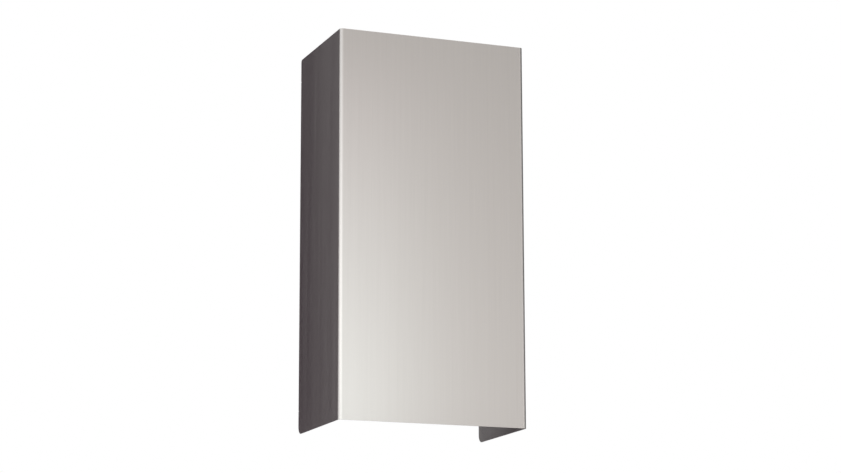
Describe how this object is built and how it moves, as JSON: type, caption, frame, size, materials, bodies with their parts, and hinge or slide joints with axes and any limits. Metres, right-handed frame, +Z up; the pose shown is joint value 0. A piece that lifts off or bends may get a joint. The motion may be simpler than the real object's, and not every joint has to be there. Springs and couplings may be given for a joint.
{
  "type": "cooker hood chimney section",
  "caption": "U-shaped chimney cover folded from brushed stainless sheet, with inward rear flanges screwed to a wall bracket, hiding the duct above a wall-mounted cooker hood.",
  "frame": {"origin": "middle of the bounding box at the lower rim, which stands on the hood's top", "axes": "+Z up along the folds, -Y out of the front panel into the room, +Y towards the wall"},
  "size_m": [0.252, 0.16, 0.5],
  "materials": {
    "brushed_sheet": "brushed along the height on the outside, plain mill finish inside"
  },
  "bodies": {
    "root": {"chimney_section": "brushed_sheet"}
  },
  "joints": []
}
